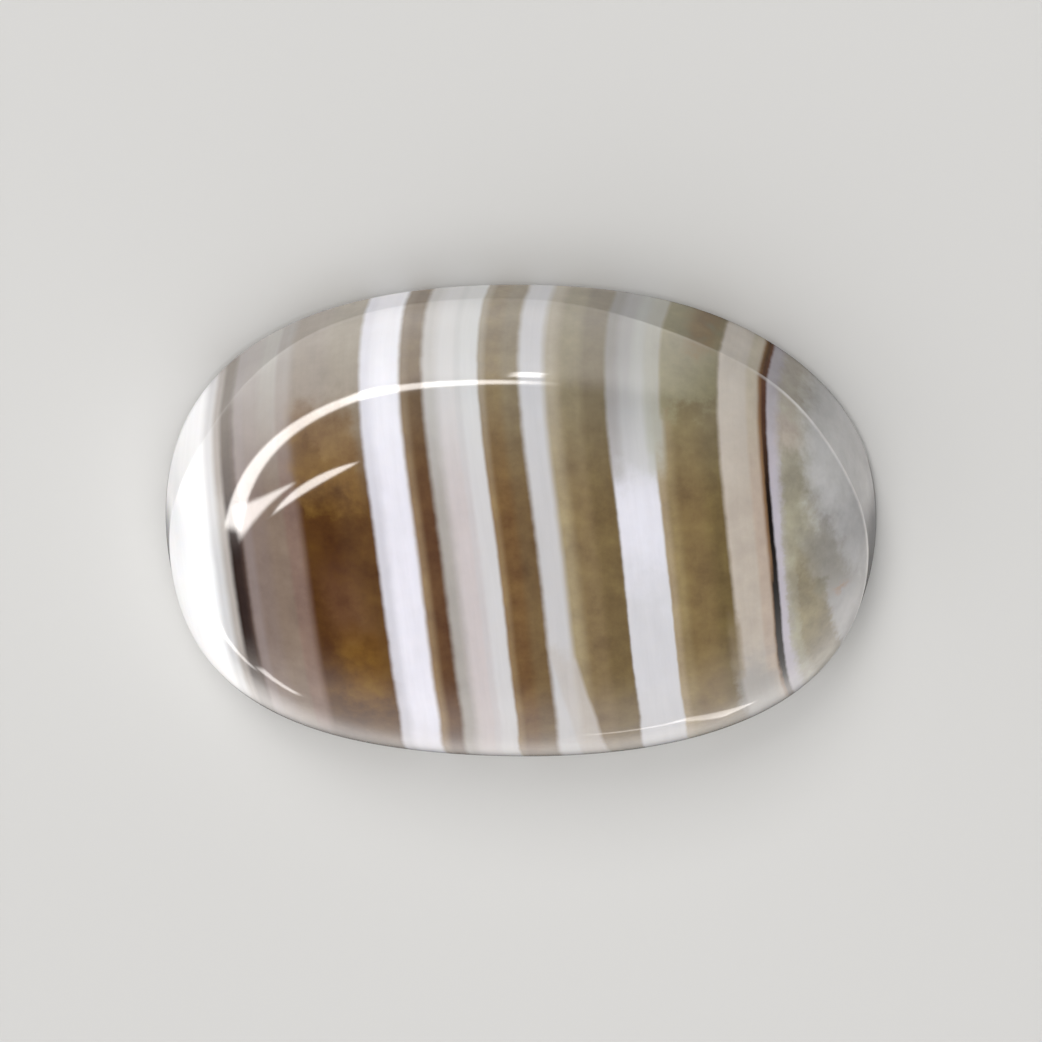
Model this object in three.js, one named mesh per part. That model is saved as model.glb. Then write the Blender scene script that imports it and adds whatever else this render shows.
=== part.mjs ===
// One oval cabochon of banded agate, cut and polished from a single piece of stone.
// Millimetres, +Z up. The origin is the middle of the flat back that the stone rests on,
// +X runs along its length and +Y across it, towards the side with the widest band of wall.

import * as THREE from 'three';

// Driving dimensions
const length = 19.1;
const width = 12.95;
const height = 5.05;
const wallHeight = 1.3;
const backRounding = 0.35;

// How much fuller than an ellipse the outline is between its long and short axes, as a share,
// and how the hand-ground shoulders differ from that: angles are in degrees from +X
const fullness = 0.051;
const shoulders = [
  { by: -0.02, at: 40, reach: 35 },
  { by: 0.024, at: 225, reach: 35 },
  { by: 0.008, at: 325, reach: 30 },
];

// How far the side wall leans in on its way up to the ridge, and where it was ground further in,
// so that it also cuts higher into the dome
const wallLean = 0.08;
const widerWall = [
  { by: 0.27, at: 58, reach: 20 },
  { by: 0.47, at: 24, reach: 24 },
  { by: 0.45, at: 152, reach: 22 },
];

// The dome's section: how flat its top and how full its sides are, and how far past its foot on
// the wall the curve would still run before it stood upright
const topFlatness = 3.7;
const sideFullness = 2.2;
const curveReach = 1.04;

// Facets
const facetsAround = 96;
const facetsInRounding = 3;
const facetsUpWall = 2;
const facetsUpDome = 15;

// 1 at the angle `at`, fading to nothing over `reach` degrees on either side
function nearAngle(angle, { at, reach }) {
  const turn = THREE.MathUtils.radToDeg(angle) - at;
  const apart = THREE.MathUtils.euclideanModulo(turn + 180, 360) - 180;
  return Math.exp(-((apart / reach) ** 2));
}

// The widest outline of the stone, seen from above
function outlinePoint(angle) {
  let share = fullness;
  for (const shoulder of shoulders) {
    share += shoulder.by * nearAngle(angle, shoulder);
  }
  const swell = 1 + share * Math.sin(2 * angle) ** 2;
  return new THREE.Vector2(
    (length / 2) * swell * Math.cos(angle),
    (width / 2) * swell * Math.sin(angle),
  );
}

function leanAt(angle) {
  let lean = wallLean;
  for (const stretch of widerWall) {
    lean += stretch.by * nearAngle(angle, stretch);
  }
  return lean;
}

// Height of the dome, from its foot on the plain wall up to the top, as `share` runs from 1 to 0
function domeHeight(share) {
  const curve = (s) => (1 - (s / curveReach) ** topFlatness) ** (1 / sideFullness);
  const rise = (curve(share) - curve(1)) / (1 - curve(1));
  return wallHeight + (height - wallHeight) * rise;
}

// Rings of the section from the flat back up to just below the top. Each takes the outline's
// distance from the middle and the wall's lean at one angle, and gives its own distance and height.
function sectionRings() {
  const rings = [];
  for (let i = 0; i <= facetsInRounding; i++) {
    const turn = (i / facetsInRounding) * (Math.PI / 2);
    const inset = backRounding * (1 - Math.sin(turn));
    const z = backRounding * (1 - Math.cos(turn));
    rings.push((edge) => [edge - inset, z]);
  }
  const onDome = (edge, distance) => [distance, domeHeight(distance / (edge - wallLean))];
  for (let i = 1; i <= facetsUpWall; i++) {
    const up = i / facetsUpWall;
    rings.push((edge, lean) => {
      const [, ridge] = onDome(edge, edge - lean);
      return [edge - lean * up, backRounding + (ridge - backRounding) * up];
    });
  }
  for (let i = 1; i < facetsUpDome; i++) {
    const share = Math.cos((i / facetsUpDome) * (Math.PI / 2));
    rings.push((edge, lean) => onDome(edge, (edge - lean) * share));
  }
  return rings;
}

// One closed skin: a fan over the flat back, rows of facets up the section, a fan over the top
function stoneGeometry() {
  const rings = sectionRings();
  const positions = [0, 0, 0];
  for (const ring of rings) {
    for (let i = 0; i < facetsAround; i++) {
      const angle = (i / facetsAround) * 2 * Math.PI;
      const edge = outlinePoint(angle);
      const [distance, z] = ring(edge.length(), leanAt(angle));
      edge.setLength(distance);
      positions.push(edge.x, edge.y, z);
    }
  }
  positions.push(0, 0, height);

  const backMiddle = 0;
  const top = positions.length / 3 - 1;
  const vertex = (row, i) => 1 + row * facetsAround + (i % facetsAround);
  const indices = [];
  for (let i = 0; i < facetsAround; i++) {
    indices.push(backMiddle, vertex(0, i + 1), vertex(0, i));
    for (let row = 0; row < rings.length - 1; row++) {
      const a = vertex(row, i);
      const b = vertex(row, i + 1);
      const c = vertex(row + 1, i + 1);
      const d = vertex(row + 1, i);
      indices.push(a, b, c, a, c, d);
    }
    indices.push(vertex(rings.length - 1, i), vertex(rings.length - 1, i + 1), top);
  }

  const geometry = new THREE.BufferGeometry();
  geometry.setAttribute('position', new THREE.Float32BufferAttribute(positions, 3));
  geometry.setIndex(indices);
  geometry.computeVertexNormals();
  return geometry;
}

const polishedAgate = new THREE.MeshStandardMaterial({
  color: 0x8f7d63,
  roughness: 0.08,
  metalness: 0,
});

const stone = new THREE.Mesh(stoneGeometry(), polishedAgate);
stone.name = 'agate_cabochon';

const group = new THREE.Group();
group.add(stone);

export default group;
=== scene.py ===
import math

import bpy
import numpy as np
from mathutils import Matrix, Vector


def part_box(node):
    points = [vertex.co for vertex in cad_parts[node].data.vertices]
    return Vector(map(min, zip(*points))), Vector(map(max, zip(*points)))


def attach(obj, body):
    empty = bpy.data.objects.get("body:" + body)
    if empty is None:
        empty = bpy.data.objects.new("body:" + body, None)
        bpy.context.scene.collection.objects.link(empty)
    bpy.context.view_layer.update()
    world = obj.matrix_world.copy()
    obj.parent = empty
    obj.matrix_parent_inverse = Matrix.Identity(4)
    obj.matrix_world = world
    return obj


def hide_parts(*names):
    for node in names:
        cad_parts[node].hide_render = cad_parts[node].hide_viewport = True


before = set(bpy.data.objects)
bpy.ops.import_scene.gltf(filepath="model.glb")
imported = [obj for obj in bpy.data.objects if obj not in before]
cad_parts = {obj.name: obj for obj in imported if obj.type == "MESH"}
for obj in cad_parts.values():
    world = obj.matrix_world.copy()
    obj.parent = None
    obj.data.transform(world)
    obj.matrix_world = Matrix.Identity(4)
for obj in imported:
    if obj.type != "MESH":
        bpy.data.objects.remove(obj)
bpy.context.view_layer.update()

mm = 0.001               # the scene is in metres


# Small helpers

def linear(hexColour):
    # sRGB hex to the linear values that the shaders use
    values = [int(hexColour[i:i + 2], 16) / 255 for i in (1, 3, 5)]
    return [v / 12.92 if v <= 0.04045 else ((v + 0.055) / 1.055) ** 2.4 for v in values] + [1.0]


def addNode(tree, kind, settings, *inputs):
    # one node: settings go to its properties and to sockets by name or number, inputs to its first
    # sockets in turn. Another node's output is linked, and any other value is set.
    node = tree.nodes.new("ShaderNode" + kind)
    for key, value in [*settings.items(), *enumerate(inputs)]:
        if isinstance(value, bpy.types.NodeSocket):
            tree.links.new(value, node.inputs[key])
        elif isinstance(key, str) and hasattr(node, key):
            setattr(node, key, value)
        else:
            node.inputs[key].default_value = value
    return node


# Settings of nodes that recur
times = {"operation": "MULTIPLY"}
timesPlus = {"operation": "MULTIPLY_ADD"}
plus = {"operation": "ADD"}
minus = {"operation": "SUBTRACT"}
unsigned = {"operation": "ABSOLUTE"}
softly = {"interpolation_type": "SMOOTHSTEP"}
ofColours = {"data_type": "RGBA"}


def direction(elevation, azimuth):
    # unit vector towards a point of the sky: azimuth is turned from +X towards +Y, in degrees
    up, around = math.radians(elevation), math.radians(azimuth)
    return Vector((math.cos(up) * math.cos(around), math.cos(up) * math.sin(around), math.sin(up)))


def turnAndPlace(thing, sideways, back, place):
    # lamps and cameras look along their own -Z, so back points away from what they look at
    upwards = back.cross(sideways)
    thing.matrix_world = Matrix((sideways, upwards, back)).transposed().to_4x4()
    thing.location = place


# The stone: an oval cabochon, one piece

stone = {
    "node": "agate_cabochon",
    "fullness": 0.051,                  # fuller than an ellipse between the axes, as a share
    "shoulders": [(-0.020, 40, 35), (0.024, 225, 35), (0.008, 325, 30)],   # by, at, reach
    "wallHeight": 1.3 * mm,             # up to the dome's foot, where the wall is plain
    "backRounding": 0.35 * mm,          # of the lower edge
    "wallLean": 0.08 * mm,              # inwards, from the widest outline up to the ridge
    # stretches where the wall was ground further in and cuts higher into the dome: by, at, reach
    "widerWall": [(0.27 * mm, 58, 20), (0.47 * mm, 24, 24), (0.45 * mm, 152, 22)],
    "topFlatness": 3.7,
    "sideFullness": 2.2,
    "curveReach": 1.04,                 # the dome's curve would stand upright this far past its foot
    "stepsAround": 480,
    "stepsInRounding": 8,
    "stepsUpWall": 12,
    "stepsUpDome": 84,
    "stepsOverBack": 24,
    "ridgePolish": 3,                   # smoothing passes that take the sharpness off the ridge
    "polishedRows": 5,                  # rows of points on either side of it that they may move
    "farFromRidge": 9.0,                # mm, given to the middle of the back and to the top
}


def nearAngle(angle, at, reach):
    apart = (np.degrees(angle) - at + 180) % 360 - 180
    return np.exp(-((apart / reach) ** 2))


def outline(angle, length, width):
    shoulders = sum(by * nearAngle(angle, at, reach) for by, at, reach in stone["shoulders"])
    share = stone["fullness"] + shoulders
    swell = 1 + share * np.sin(2 * angle) ** 2
    return np.stack([length / 2 * swell * np.cos(angle), width / 2 * swell * np.sin(angle)])


def domeRise(share):
    # 0 at the dome's foot on the plain wall and 1 at the top, where share runs from 1 to 0
    def curve(s):
        return (1 - (s / stone["curveReach"]) ** stone["topFlatness"]) ** (1 / stone["sideFullness"])
    return (curve(share) - curve(1)) / (1 - curve(1))


def stoneRings(length, width, height):
    # rows of points from the middle of the back, round the edge, up the wall and over the dome
    angle = np.linspace(0, 2 * math.pi, stone["stepsAround"], endpoint=False)
    edge = outline(angle, length, width)
    edgeReach = np.hypot(edge[0], edge[1])
    lean = stone["wallLean"] + sum(by * nearAngle(angle, at, reach) for by, at, reach in stone["widerWall"])
    rounding = stone["backRounding"]

    def onDome(distance):
        foot = stone["wallHeight"]
        return distance, foot + (height - foot) * domeRise(distance / (edgeReach - stone["wallLean"]))

    rows = []                           # each: distances from the middle and heights, all the way round
    for i in range(1, stone["stepsOverBack"]):
        rows.append(((edgeReach - rounding) * i / stone["stepsOverBack"], 0 * angle))
    for i in range(stone["stepsInRounding"] + 1):
        turn = i / stone["stepsInRounding"] * math.pi / 2
        inset, z = rounding * (1 - math.sin(turn)), rounding * (1 - math.cos(turn))
        rows.append((edgeReach - inset, z + 0 * angle))
    ridge = onDome(edgeReach - lean)[1]
    for i in range(1, stone["stepsUpWall"] + 1):
        up = i / stone["stepsUpWall"]
        rows.append((edgeReach - lean * up, rounding + (ridge - rounding) * up))
    ridgeRow = len(rows) - 1
    for i in range(1, stone["stepsUpDome"]):
        rows.append(onDome((edgeReach - lean) * math.cos(i / stone["stepsUpDome"] * math.pi / 2)))

    reach = np.array([distance for distance, _ in rows]) / edgeReach
    rise = np.array([z for _, z in rows])
    near = slice(ridgeRow - stone["polishedRows"], ridgeRow + stone["polishedRows"] + 1)
    for _ in range(stone["ridgePolish"]):
        for values in (reach, rise):
            softer = values.copy()
            softer[1:-1] = (values[:-2] + 2 * values[1:-1] + values[2:]) / 4
            values[near] = softer[near]
    wall = np.arange(len(rows))[:, None] <= ridgeRow
    offRidge = np.where(wall, rise - ridge, edgeReach - lean - reach * edgeReach)   # below it, or inwards
    return edge, reach, rise, offRidge


def buildStone():
    low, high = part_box(stone["node"])
    length, width, height = high - low
    edge, reach, rise, offRidge = stoneRings(length, width, height)
    around, rowCount = stone["stepsAround"], len(reach)
    points = [(0, 0, 0)]                # the middle of the back, then the rows, then the top
    for row in range(rowCount):
        points += zip(edge[0] * reach[row], edge[1] * reach[row], rise[row])
    points.append((0, 0, height))

    faces = []
    for i in range(around):
        n = (i + 1) % around
        faces.append((0, 1 + n, 1 + i))
        for row in range(rowCount - 1):
            a = 1 + row * around
            faces.append((a + i, a + n, a + around + n, a + around + i))
        last = 1 + (rowCount - 1) * around
        faces.append((last + i, last + n, len(points) - 1))

    mesh = bpy.data.meshes.new("bandedAgate")
    mesh.from_pydata(points, [], faces)
    mesh.shade_smooth()
    # for each point, how near the rim it lies, 0 in the middle and 1 at the outline, and how many
    # mm from the ridge, less than 0 below it
    rim = np.concatenate([[0.0], reach.mean(axis=1).repeat(around), [0.0]])
    far = stone["farFromRidge"]
    ridge = np.concatenate([[-far], offRidge.ravel() / mm, [far]])
    for name, values in (("nearRim", rim), ("offRidge", ridge)):
        mesh.attributes.new(name, "FLOAT", "POINT").data.foreach_set("value", values.astype(np.float32))
    piece = bpy.data.objects.new("banded_agate", mesh)
    bpy.context.scene.collection.objects.link(piece)
    return piece


# Banded agate, a chalcedony, cut and polished: glassy skin, soft light from within,
# opaque white layers and clearer brown ones that turn paler towards the thin rim,
# with painted reflection that pales them towards +Y and at the foot of the front,
# and a painted highlight on the ridge

agate = {
    "ior": 1.54,                        # chalcedony
    "roughness": 0.045,                 # a good lapidary polish
    "withinWeight": 0.25,               # light carried under the skin: how much, and how far
    "withinReach": 0.45 * mm,
    "withinColours": (1.0, 0.8, 0.6),   # red light reaches furthest
    "across": (1.0, 0.1153, 0.1443),    # the layers lie square to this direction
    "fan": (-0.0299, 0.0590),           # and spread a little over the stone's half length
    "halfLength": 9.55,                 # mm
    "sway": (0.30, 0.03),               # slow bends of the layers: per mm, mm
    "quiver": (2.6, 0.025),             # small unevenness of each layer: per mm, mm
    "endBend": (6.0, 7.4, 1.5, 0.0045),  # the last layers bend back at both sides: from, to, about y, by
    "footBend": (-4.2, -6.3, 0.28),     # all run straighter at the foot of the front: from, to y, by
    "crinkle": (7.53, 7.61, 5.5, 0.1),  # of the frosted right end: from, to, per mm, mm
    "palesFrom": 1.2,                   # painted reflection towards +Y, mm: where the layers begin to pale under it
    "palesTo": 6.4,                     # and where they are palest
    "rimPaling": (0.84, 1.02, 0.5),     # towards the rim all round: from, to, how much
    "footPaintedReflection": (0.79, 1.0),            # painted reflection, a thin pale sheen towards the foot of the front: from, to
    "footPaintedReflectionAlong": (-1.8, -4.2, 0.34),  # towards -Y, mm: from, to, how much
    "footPaintedReflectionColour": "#e8e7e5",
    "threads": (4.5, 0.35, 0.08),       # fine lines along the layers: per mm across and along, strength
    "mottle": (1.3, 0.85, 0.05),        # cloudiness of the clear layers: per mm, strength, change of hue
    "frostMottle": (7.53, 7.73, 0.3),   # the frosted right end: from, to, how clear it counts for that
    "wander": (1.3, 0.9, 0.25),         # unevenness of the clouds: per mm, mm along and across
    "crisp": 0.25,                      # cloud borders that are no softer follow the layers, mm
    "offStone": -8.0,                   # clouds from below this y, mm, reach past the foot
    # how finely each unevenness breaks up, and how rough the finest of it is
    "grain": {"bends": (2.0, 0.5), "crinkle": (3.0, 0.5), "wander": (4.0, 0.6),
              "threads": (4.0, 0.65), "mottle": (6.0, 0.62)},
    "ridgePaintedHighlight": (-0.02, 0.04, 0.06),   # painted highlight, a fine pale line on the ridge: from, to, softness, mm
    "ridgePaintedHighlightAlong": (6.5, 8.5, 0.04, 0.85),   # across the layers, mm: from, to, how much at each
    "ridgePaintedHighlightColour": "#e4e2e0",
}

# Layers from the left end to the right. Each begins so many mm along the band direction, over
# a soft edge of that width, with its colour in the thick of the stone and where it pales: at the
# thin rim, and under the painted reflection towards +Y.
agate["layers"] = [
    ("rimWhite", -99.0, 0.10, "#f3f3f4", "#f6f6f8"),
    ("rimSoft", -7.72, 0.34, "#c4c3c4", "#d6d5d7"),
    ("rimGrey", -7.4, 0.24, "#a59f9a", "#c4beb8"),
    ("smokeLine", -7.14, 0.20, "#281c18", "#9a9183"),
    ("smokeEdge", -6.82, 0.14, "#46362f", "#a09992"),
    ("mauveGrey", -6.7, 0.18, "#7c6f6b", "#aea9a7"),
    ("mauveMid", -6.4, 0.20, "#776860", "#b4afac"),
    ("mauveWarm", -5.95, 0.40, "#77675b", "#b9b7b3"),
    ("mauvePink", -5.4, 0.15, "#766157", "#aaa6a1"),
    ("honeyBrown", -4.96, 0.34, "#4b2e12", "#9e958a"),
    ("honeyRight", -3.9, 0.60, "#54391e", "#9e9688"),
    ("white1", -2.96, 0.16, "#bebcc3", "#d9d9e1"),
    ("white1Core", -2.66, 0.30, "#d2d0d8", "#e7e7ed"),
    ("white1Tan", -1.88, 0.18, "#826c52", "#7c6d59"),
    ("brown1", -1.66, 0.24, "#583d28", "#6a583e"),
    ("grey2", -1.245, 0.20, "#9b9691", "#bbb9b7"),
    ("grey2Pink", -0.88, 0.35, "#b7afaf", "#cbcbcb"),
    ("grey2Dip", -0.39, 0.10, "#b6b1b2", "#c5c6c6"),
    ("grey2Pale", -0.22, 0.14, "#bdbbbc", "#cccdcd"),
    ("tan2", 0.235, 0.12, "#7f694c", "#988f7e"),
    ("brown2", 0.41, 0.20, "#664c2f", "#807154"),
    ("brown2Right", 0.85, 0.30, "#655137", "#827760"),
    ("white3", 1.315, 0.20, "#b5b3b4", "#c2c2c5"),
    ("white3Tan", 1.95, 0.26, "#8f8166", "#a59d8d"),
    ("olive3", 2.3, 0.40, "#746246", "#8a826b"),
    ("olive3Dark", 2.9, 0.30, "#69583b", "#786f5c"),
    ("white4", 3.54, 0.15, "#aca9aa", "#8b8985"),
    ("white4Core", 3.85, 0.30, "#bebdbf", "#9c9b9a"),
    ("white4Right", 4.2, 0.40, "#c2c1c3", "#a9aaa6"),
    ("white4Tan", 4.68, 0.14, "#96866c", "#aca89a"),
    ("olive4Tan", 4.88, 0.20, "#847352", "#a29882"),
    ("olive4", 5.12, 0.30, "#746141", "#8b8368"),
    ("olive4Dark", 5.85, 0.50, "#665637", "#8c846e"),
    ("beige5", 6.32, 0.16, "#b0a69b", "#cec7be"),
    ("beige5Right", 7.02, 0.12, "#ad9e91", "#c4bdac"),
    ("rustFringe", 7.3, 0.12, "#7a5e44", "#8c6848"),
    ("darkLine", 7.38, 0.07, "#0d0604", "#765240"),
    ("frost6", 7.5, 0.08, "#b6b0b8", "#b0abae"),
    ("olive6", 7.76, 0.24, "#9b9684", "#b4aea8"),
    ("grey6", 8.55, 0.6, "#a8a6a6", "#cccbca"),
]

# Clouds and stains that fill part of a layer, and one patch of painted reflection: from, to and
# softness across the layers, from, to and softness along them (towards +Y), all in mm, how far
# across they slant per mm along, how strong they are, and their colour
agate["clouds"] = [
    ("smokeVeil", (-7.35, -6.75, 0.2), (1.5, 9.0, 1.0), 0.0, 0.3, "#64544a"),
    ("smokeDeep", (-7.0, -6.76, 0.14), (-3.0, 0.4, 0.8), 0.0, 0.55, "#2e2220"),
    ("smokeFoot", (-7.35, -6.75, 0.2), (-9.0, -3.0, 2.0), 0.0, 0.5, "#7a706a"),
    ("goldenTop", (-5.0, -3.1, 0.5), (1.75, 4.0, 1.1), 0.0, 0.7, "#76582e"),
    ("goldenSill", (-4.9, -3.9, 0.5), (1.3, 3.0, 0.3), 0.1, 0.35, "#64481c"),
    ("lilacMottle", (-4.3, -3.2, 0.7), (-2.4, -0.2, 1.2), -0.15, 0.35, "#644634"),
    ("goldenLow", (-4.3, -3.1, 0.8), (-4.0, -1.9, 1.2), 0.0, 0.75, "#6a4a1a"),
    ("whiteBright", (3.55, 4.67, 0.1), (-3.5, 2.3, 1.2), 0.0, 0.9, "#d1d0d8"),
    ("whiteLow", (3.55, 4.67, 0.1), (-9.0, -0.35, 2.7), 0.0, 0.9, "#bebdc0"),
    ("whiteWide", (4.5, 4.95, 0.2), (2.9, 9.0, 1.4), 0.0, 0.9, "#a9a89f"),
    # painted reflection: the olive layers as pale as under the veil of light towards +Y
    ("oliveUnderPaintedReflection", (4.9, 6.3, 0.15), (4.05, 9.0, 0.4), 0.0, 1.0, "#8a846a"),
    ("tanWedge", (1.3, 1.98, 0.15), (-9.0, -2.3, 0.9), -0.18, 0.8, "#b0aaa6"),
    ("oliveDeep", (7.7, 8.45, 0.2), (-9.0, 0.0, 1.8), -0.1, 0.85, "#857a60"),
    ("tanFoot", (6.2, 7.25, 0.3), (-9.0, -2.9, 1.6), 0.0, 0.75, "#969492"),
    ("beigeEdge", (6.1, 6.43, 0.16), (-3.3, -1.5, 0.7), 0.0, 0.6, "#7d6e54"),
    ("darkFoot", (7.33, 7.45, 0.08), (-3.3, -0.5, 0.9), 0.0, 1.0, "#060403"),
    ("frostLow", (7.66, 7.95, 0.12), (-2.6, 1.3, 0.9), 0.0, 0.7, "#9b9684"),
    ("paleTop", (8.35, 11.0, 0.5), (1.2, 9.0, 1.6), 0.0, 0.85, "#c2c1c0"),
    ("greyCloud", (8.4, 9.25, 0.4), (-1.1, 0.7, 0.9), -0.2, 0.8, "#918d84"),
    ("ridgeBrown", (5.5, 6.3, 0.5), (5.3, 9.0, 0.7), 0.0, 0.65, "#7a6044"),
    ("stubDark", (7.33, 7.45, 0.09), (4.5, 9.0, 0.4), 0.0, 0.6, "#43351c"),
    ("pinkFleck", (7.85, 8.3, 0.4), (2.9, 3.7, 0.7), -0.2, 0.5, "#b8aaa2"),
    ("orangeFleck", (8.72, 9.0, 0.25), (-1.35, -1.05, 0.3), 0.3, 0.45, "#b08a68"),
    ("darkFleck", (8.35, 8.65, 0.25), (-1.05, -0.8, 0.25), 0.0, 0.5, "#77705a"),
]


def within(tree, value, start, end, soft):
    # 1 between start and end and 0 outside, over soft edges
    offMiddle = addNode(tree, "Math", minus, value, (start + end) / 2).outputs[0]
    aside = addNode(tree, "Math", unsigned, offMiddle).outputs[0]
    half = (end - start) / 2
    return addNode(tree, "MapRange", softly, aside, half + soft / 2, half - soft / 2).outputs[0]


def unevenness(tree, place, perMm, detail, roughness):
    # natural variation, from about -0.5 to 0.5
    noise = addNode(tree, "TexNoise",
                    {"Vector": place, "Scale": perMm, "Detail": detail, "Roughness": roughness})
    return addNode(tree, "Math", minus, noise.outputs["Fac"], 0.5).outputs[0]


def layerPosition(tree):
    # where each point of the stone lies in mm, and how far along the band direction, with natural bends
    coords = addNode(tree, "TexCoord", {}).outputs["Object"]
    place = addNode(tree, "VectorMath", {"operation": "SCALE", "Scale": 1 / mm}, coords).outputs[0]
    along = addNode(tree, "VectorMath", {"operation": "DOT_PRODUCT"}, place, agate["across"])
    parts = addNode(tree, "SeparateXYZ", {}, place).outputs
    fanX, fanY = (value / agate["halfLength"] for value in agate["fan"])
    spread = addNode(tree, "Math", times, parts["X"], fanX).outputs[0]
    spread = addNode(tree, "Math", timesPlus, parts["Y"], fanY, spread).outputs[0]
    position = addNode(tree, "Math", timesPlus, spread, parts["Y"], along.outputs["Value"]).outputs[0]
    for perMm, size in (agate["sway"], agate["quiver"]):
        bends = unevenness(tree, place, perMm, *agate["grain"]["bends"])
        position = addNode(tree, "Math", timesPlus, bends, 2 * size, position).outputs[0]

    bendFrom, bendTo, aboutY, bend = agate["endBend"]
    aside = addNode(tree, "Math", minus, parts["Y"], aboutY).outputs[0]
    bending = addNode(tree, "MapRange", softly, position, bendFrom, bendTo, 0.0, bend).outputs[0]
    bending = addNode(tree, "Math", times, bending, aside).outputs[0]
    position = addNode(tree, "Math", timesPlus, bending, aside, position).outputs[0]

    bendFrom, bendTo, bend = agate["footBend"]
    bending = addNode(tree, "MapRange", softly, parts["Y"], bendFrom, bendTo, 0.0, bend).outputs[0]
    position = addNode(tree, "Math", plus, position, bending).outputs[0]

    frostFrom, frostTo, perMm, size = agate["crinkle"]
    frosted = addNode(tree, "MapRange", softly, position, frostFrom, frostTo, 0.0, 2 * size).outputs[0]
    crinkles = unevenness(tree, place, perMm, *agate["grain"]["crinkle"])
    position = addNode(tree, "Math", timesPlus, crinkles, frosted, position).outputs[0]
    return place, position, parts


def layerColours(tree, position):
    # the layers' colours in the thick of the stone and where it pales, one layer laid over the last
    first, *others = agate["layers"]
    thick, thinAndSheen = (linear(colour) for colour in first[3:])
    for name, start, soft, thickColour, thinAndSheenColour in others:
        begun = addNode(tree, "MapRange", softly, position, start - soft / 2, start + soft / 2)
        begun.label = name
        begun = begun.outputs[0]
        thick = addNode(tree, "Mix", {**ofColours, 6: thick, 7: linear(thickColour)}, begun).outputs[2]
        thinAndSheen = addNode(tree, "Mix", {**ofColours, 6: thinAndSheen, 7: linear(thinAndSheenColour)}, begun).outputs[2]
    return thick, thinAndSheen


def laidClouds(tree, colour, place, position, alongY):
    # borders across the layers follow them where they are crisp, and wander where they are soft
    perMm, alongSize, acrossSize = agate["wander"]
    wandering = unevenness(tree, place, perMm, *agate["grain"]["wander"])
    wanderingY = addNode(tree, "Math", timesPlus, wandering, 2 * alongSize, alongY).outputs[0]
    wanderingPosition = addNode(tree, "Math", timesPlus, wandering, 2 * acrossSize, position).outputs[0]
    for name, (fromD, toD, softD), (fromY, toY, softY), slant, strength, tint in agate["clouds"]:
        across = wanderingPosition if softD > agate["crisp"] else position
        if slant:
            nearEnd = toY if fromY < agate["offStone"] else fromY   # the end that lies on the stone
            fromEnd = addNode(tree, "Math", minus, nearEnd, alongY).outputs[0]
            across = addNode(tree, "Math", timesPlus, fromEnd, slant, across).outputs[0]
        inside = addNode(tree, "Math", times, within(tree, across, fromD, toD, softD),
                         within(tree, wanderingY, fromY, toY, softY)).outputs[0]
        amount = addNode(tree, "Math", times, inside, strength)
        amount.label = name
        tinted = {**ofColours, 6: colour, 7: linear(tint)}
        colour = addNode(tree, "Mix", tinted, amount.outputs[0]).outputs[2]
    return colour


def paintedFootReflection(tree, colour, rim, alongY):
    # a thin pale painted reflection towards the foot of the front
    nearFoot = addNode(tree, "MapRange", softly, rim, *agate["footPaintedReflection"]).outputs[0]
    veilFrom, veilTo, amount = agate["footPaintedReflectionAlong"]
    inFront = addNode(tree, "MapRange", softly, alongY, veilFrom, veilTo, 0.0, amount).outputs[0]
    reflectionShare = addNode(tree, "Math", times, nearFoot, inFront).outputs[0]
    reflectionMix = {**ofColours, 6: colour, 7: linear(agate["footPaintedReflectionColour"])}
    return addNode(tree, "Mix", reflectionMix, reflectionShare).outputs[2]


def paintedRidgeHighlight(tree, colour, position):
    # painted highlight: a fine pale line on the ridge, seen most at the right end
    offRidge = addNode(tree, "Attribute", {"attribute_name": "offRidge"}).outputs["Fac"]
    onRidge = within(tree, offRidge, *agate["ridgePaintedHighlight"])
    share = addNode(tree, "MapRange", softly, position, *agate["ridgePaintedHighlightAlong"]).outputs[0]
    amount = addNode(tree, "Math", times, onRidge, share).outputs[0]
    highlightMix = {**ofColours, 6: colour, 7: linear(agate["ridgePaintedHighlightColour"])}
    return addNode(tree, "Mix", highlightMix, amount).outputs[2]


def grainedColour(tree, colour, place, position, alongY):
    # fine threads along the layers, and cloudiness that is stronger the clearer the layer
    perMmAcross, perMmAlong, threadStrength = agate["threads"]
    stretchedX = addNode(tree, "Math", times, position, perMmAcross).outputs[0]
    stretchedY = addNode(tree, "Math", times, alongY, perMmAlong).outputs[0]
    stretched = addNode(tree, "CombineXYZ", {}, stretchedX, stretchedY).outputs[0]
    threads = unevenness(tree, stretched, 1.0, *agate["grain"]["threads"])

    clearness = addNode(tree, "SeparateColor", {"mode": "HSV"}, colour).outputs[1]
    frostFrom, frostTo, amount = agate["frostMottle"]
    frosted = addNode(tree, "MapRange", softly, position, frostFrom, frostTo, 0.0, amount).outputs[0]
    clearness = addNode(tree, "Math", plus, clearness, frosted).outputs[0]
    perMm, mottleStrength, hueChange = agate["mottle"]
    cloudy = unevenness(tree, place, perMm, *agate["grain"]["mottle"])
    cloudy = addNode(tree, "Math", times, cloudy, clearness).outputs[0]

    value = addNode(tree, "Math", timesPlus, threads, 2 * threadStrength, 1.0).outputs[0]
    value = addNode(tree, "Math", timesPlus, cloudy, 2 * mottleStrength, value).outputs[0]
    hue = addNode(tree, "Math", timesPlus, cloudy, hueChange, 0.5).outputs[0]
    return addNode(tree, "HueSaturation", {"Hue": hue, "Value": value, "Color": colour}).outputs[0]


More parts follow.
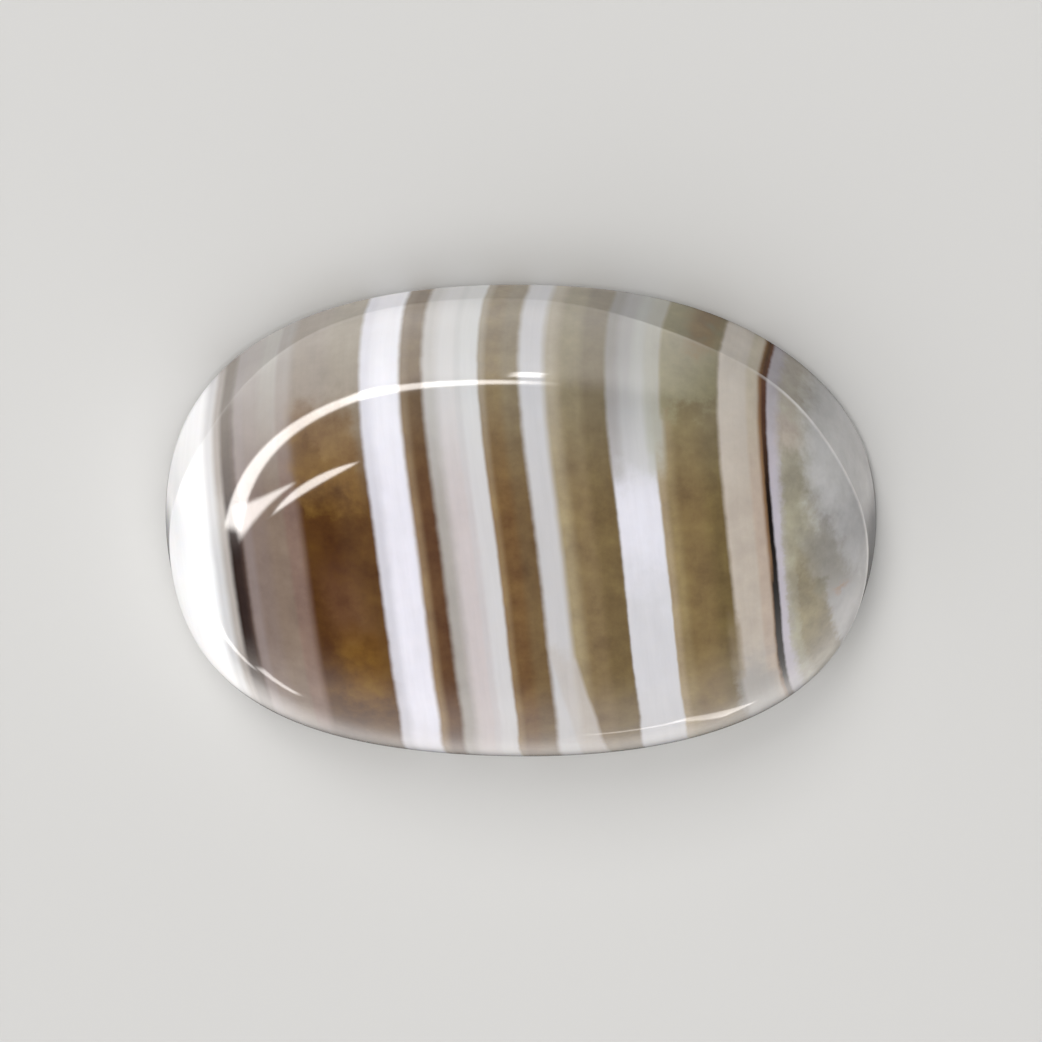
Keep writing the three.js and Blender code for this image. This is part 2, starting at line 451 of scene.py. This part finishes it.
def agateMaterial():
    material = bpy.data.materials.new("bandedAgatePolished")
    material.use_nodes = True
    tree = material.node_tree
    tree.nodes.clear()
    place, position, parts = layerPosition(tree)
    thick, thinAndSheen = layerColours(tree, position)

    # paler towards +Y: painted reflection, the pale veil of light on that side laid into the colour; paler
    # towards the rim all round where the stone is thin
    paling = addNode(tree, "MapRange", softly, parts["Y"], agate["palesFrom"], agate["palesTo"]).outputs[0]
    rim = addNode(tree, "Attribute", {"attribute_name": "nearRim"}).outputs["Fac"]
    rimFrom, rimTo, rimAmount = agate["rimPaling"]
    rimPaling = addNode(tree, "MapRange", softly, rim, rimFrom, rimTo, 0.0, rimAmount).outputs[0]
    paling = addNode(tree, "Math", {"operation": "MAXIMUM"}, paling, rimPaling).outputs[0]
    colour = addNode(tree, "Mix", {**ofColours, 6: thick, 7: thinAndSheen}, paling).outputs[2]
    colour = laidClouds(tree, colour, place, position, parts["Y"])
    # painted reflection at the foot of the front
    colour = paintedFootReflection(tree, colour, rim, parts["Y"])
    # painted highlight along the ridge
    colour = paintedRidgeHighlight(tree, colour, position)
    colour = grainedColour(tree, colour, place, position, parts["Y"])

    skin = addNode(tree, "BsdfPrincipled",
                   {"Base Color": colour, "Roughness": agate["roughness"], "IOR": agate["ior"],
                    "Subsurface Weight": agate["withinWeight"], "Subsurface Scale": agate["withinReach"],
                    "Subsurface Radius": agate["withinColours"]})
    addNode(tree, "OutputMaterial", {}, skin.outputs[0])
    return material


agateStone = buildStone()
agateStone.data.materials.append(agateMaterial())
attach(agateStone, "root")
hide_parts(stone["node"])
print("stone: banded agate cabochon built")


# Floor: plain matt card, pale

floorCard = {
    "side": 3.0,                        # metres
    "colour": "#bdbcba",
    "roughness": 0.9,
    "sheen": 0.1,
}


def buildFloor():
    half = floorCard["side"] / 2
    mesh = bpy.data.meshes.new("floor")
    mesh.from_pydata([(-half, -half, 0), (half, -half, 0), (half, half, 0), (-half, half, 0)], [],
                     [(0, 1, 2, 3)])
    floor = bpy.data.objects.new("floor", mesh)
    bpy.context.scene.collection.objects.link(floor)
    material = bpy.data.materials.new("mattCardPale")
    material.use_nodes = True
    skin = material.node_tree.nodes["Principled BSDF"]
    skin.inputs["Base Color"].default_value = linear(floorCard["colour"])
    skin.inputs["Roughness"].default_value = floorCard["roughness"]
    skin.inputs["Specular IOR Level"].default_value = floorCard["sheen"]
    mesh.materials.append(material)
    floor.visible_glossy = False        # the stone's sides mirror the room's lower half instead
    return floor


buildFloor()
print("stage: floor laid")


# Studio light. Two kinds: big soft lamps that light the stone and the card but aren't mirrored,
# and the softboxes and bright edges that its polish mirrors, drawn on the room around it

studio = {
    "distance": 0.8,                    # of every lamp from the stone, metres
    # name, elevation, azimuth, side of the square lamp in metres, brightness (white card is 1)
    "lamps": [
        ("overheadLamp", 84, 270, 1.1, 1.7),
        ("backLamp", 48, 108, 0.36, 8.2),
        ("frontLamp", 38, 275, 0.8, 1.3),
        ("frontLeftLamp", 28, 218, 0.6, 1.7),
        ("leftLamp", 24, 172, 0.5, 0.8),
    ],
}


def buildLamps():
    for name, elevation, azimuth, side, brightness in studio["lamps"]:
        light = bpy.data.lights.new(name, "AREA")
        light.shape = "SQUARE"
        light.size = side
        light.energy = brightness * math.pi * side * side
        lamp = bpy.data.objects.new(name, light)
        bpy.context.scene.collection.objects.link(lamp)
        back = direction(elevation, azimuth)
        turnAndPlace(lamp, direction(0, azimuth + 90), back, back * studio["distance"])
        lamp.visible_camera = False
        lamp.visible_glossy = False


# What the polish mirrors, as bands on the sky seen from the stone. Each runs from one azimuth and
# elevation to another, in degrees, with its half width at both ends, how far its middle bows out
# and bulges, how soft its sides and its ends are, and its brightness.
room = {
    "dim": 0.12,
    "tint": "#fffaf6",
    "seen": "#c4c4c2",                  # plain wall that shows behind the card from low views
}
room["softboxes"] = [
    ("backLeftBox", (100, -9), (192, -12), 35, 35, 0, 0, 24, 14, 2.5),
    ("backRightBox", (62, -8), (103, -9), 34, 35, 0, 0, 24, 18, 2.4),
    ("backGlow", (85, 45), (180, 40), 20, 20, 0, 0, 36, 30, 0.5),
    ("wallBox", (66, -68), (205, -68), 25, 25, 0, 0, 14, 34, 0.75),
    ("rightWallBox", (334, -58), (16, -46), 14, 14, 0, 0, 10, 22, 0.7),
    ("frontBox", (231, -8), (338, -8), 40, 40, 0, 0, 40, 34, 1.45),
    ("lowLeftBox", (205, -46), (250, -42), 22, 22, 0, 0, 8, 14, 0.6),
    ("mainBarRight", (89.5, 28.2), (117, 24.6), 1.5, 3.6, -0.3, 0, 2.6, 9, 14),
    ("mainBar", (113, 24.0), (190.8, 18.1), 3.2, 6.1, 5.2, -0.6, 3.0, 3.4, 16),
    ("tongue", (189, 20.3), (172, 49.5), 5.7, 0.3, -2.2, 0, 3.0, 5, 15),
    ("secondBar", (187, 43.2), (153.5, 66.3), 0.3, 0.4, -3.2, 2.3, 2.0, 7, 16),
    ("spot", (91.8, 20.5), (88.4, 20.9), 2.3, 2.3, 0, 0, 1.8, 1.6, 15),
    ("lowRightStreak", (273.5, -17), (283, -18), 0.8, 1.4, 0, 0, 1.6, 2, 2.4),
    ("lowRightLens", (283, -15.5), (289.5, -33), 1.2, 3.6, 0, 0, 1.6, 2, 2.6),
    ("lowLeftStreak", (231, -5.5), (243.5, -7.3), 2.6, 1.6, 0, 0, 2.4, 3, 6),
    ("lowLeftEdge", (214, -13), (231, -10.5), 2.6, 1.2, 0, 0, 2.4, 4, 5),
]


def mirroredBand(tree, azimuth, elevation, start, end, halfStart, halfEnd, bow, bulge, side, tips):
    # 1 inside the band and 0 outside, soft at its borders
    across, up = end[0] - start[0], end[1] - start[1]
    if across < -180:
        across += 360                   # runs on over azimuth 0
    length = math.hypot(across, up)
    fromMiddle = addNode(tree, "Math", minus, azimuth, start[0] + across / 2).outputs[0]
    fromMiddle = addNode(tree, "Math", {"operation": "WRAP"}, fromMiddle, 180.0, -180.0).outputs[0]
    risen = addNode(tree, "Math", minus, elevation, start[1] + up / 2).outputs[0]
    along = addNode(tree, "Math", times, risen, up / length).outputs[0]
    along = addNode(tree, "Math", timesPlus, fromMiddle, across / length, along).outputs[0]
    aside = addNode(tree, "Math", times, fromMiddle, -up / length).outputs[0]
    aside = addNode(tree, "Math", timesPlus, risen, across / length, aside).outputs[0]

    share = addNode(tree, "Math", {"operation": "DIVIDE"}, along, length / 2).outputs[0]
    squared = addNode(tree, "Math", times, share, share).outputs[0]
    fullness = addNode(tree, "Math", minus, 1.0, squared).outputs[0]
    bowed = addNode(tree, "Math", timesPlus, fullness, -bow, aside).outputs[0]
    bowed = addNode(tree, "Math", unsigned, bowed).outputs[0]
    widening, middle = (halfEnd - halfStart) / 2, (halfStart + halfEnd) / 2
    half = addNode(tree, "Math", timesPlus, share, widening, middle).outputs[0]
    half = addNode(tree, "Math", timesPlus, fullness, bulge, half).outputs[0]
    toSide = addNode(tree, "Math", minus, half, bowed).outputs[0]
    inSides = addNode(tree, "MapRange", softly, toSide, -side / 2, side / 2).outputs[0]
    toEnd = addNode(tree, "Math", unsigned, along).outputs[0]
    tipFrom, tipTo = (length + tips) / 2, (length - tips) / 2
    inTips = addNode(tree, "MapRange", softly, toEnd, tipFrom, tipTo).outputs[0]
    return addNode(tree, "Math", times, inSides, inTips).outputs[0]


def buildRoom():
    world = bpy.data.worlds.new("room")
    world.use_nodes = True
    tree = world.node_tree
    tree.nodes.clear()
    coords = addNode(tree, "TexCoord", {}).outputs["Generated"]
    parts = addNode(tree, "SeparateXYZ", {}, coords).outputs
    azimuth = addNode(tree, "Math", {"operation": "ARCTAN2"}, parts["Y"], parts["X"]).outputs[0]
    azimuth = addNode(tree, "Math", {"operation": "DEGREES"}, azimuth).outputs[0]
    elevation = addNode(tree, "Math", {"operation": "ARCSINE"}, parts["Z"]).outputs[0]
    elevation = addNode(tree, "Math", {"operation": "DEGREES"}, elevation).outputs[0]
    total = room["dim"]
    for name, *shape, brightness in room["softboxes"]:
        band = mirroredBand(tree, azimuth, elevation, *shape)
        brightened = addNode(tree, "Math", timesPlus, band, brightness, total)
        brightened.label = name
        total = brightened.outputs[0]
    mirrored = addNode(tree, "Background", {"Strength": total, "Color": linear(room["tint"])}).outputs[0]
    seen = addNode(tree, "Background", {"Color": linear(room["seen"])}).outputs[0]
    byCamera = addNode(tree, "LightPath", {}).outputs["Is Camera Ray"]
    both = addNode(tree, "MixShader", {}, byCamera, mirrored, seen).outputs[0]
    addNode(tree, "OutputWorld", {}, both)
    world.cycles_visibility.diffuse = False
    bpy.context.scene.world = world
    bpy.context.scene.view_settings.view_transform = "Standard"


buildLamps()
buildRoom()
print("light: studio set")


# Camera: looks down steeply from the stone's +Y side, with the stone's length across the picture

camera = {
    "tilt": 16.0,                       # degrees off straight down
    "azimuth": 86.0,                    # the side that it leans to, from +X
    "distance": 0.35,                   # metres
    "pictureWidth": 28.03 * mm,         # what the picture spans at the stone
    "aim": (0.0, -0.19 * mm, 0.0),
    "sensorWidth": 36.0,
    "clipsFrom": 0.01,
}


def buildCamera():
    data = bpy.data.cameras.new("camera")
    shot = bpy.data.objects.new("camera", data)
    bpy.context.scene.collection.objects.link(shot)
    back = direction(90 - camera["tilt"], camera["azimuth"])
    right = (-back).cross(Vector((0, 1, 0))).normalized()
    turnAndPlace(shot, right, back, Vector(camera["aim"]) + back * camera["distance"])
    data.sensor_width = camera["sensorWidth"]
    data.lens = data.sensor_width * camera["distance"] / camera["pictureWidth"]
    data.clip_start = camera["clipsFrom"]
    bpy.context.scene.camera = shot


buildCamera()
print("camera: set")
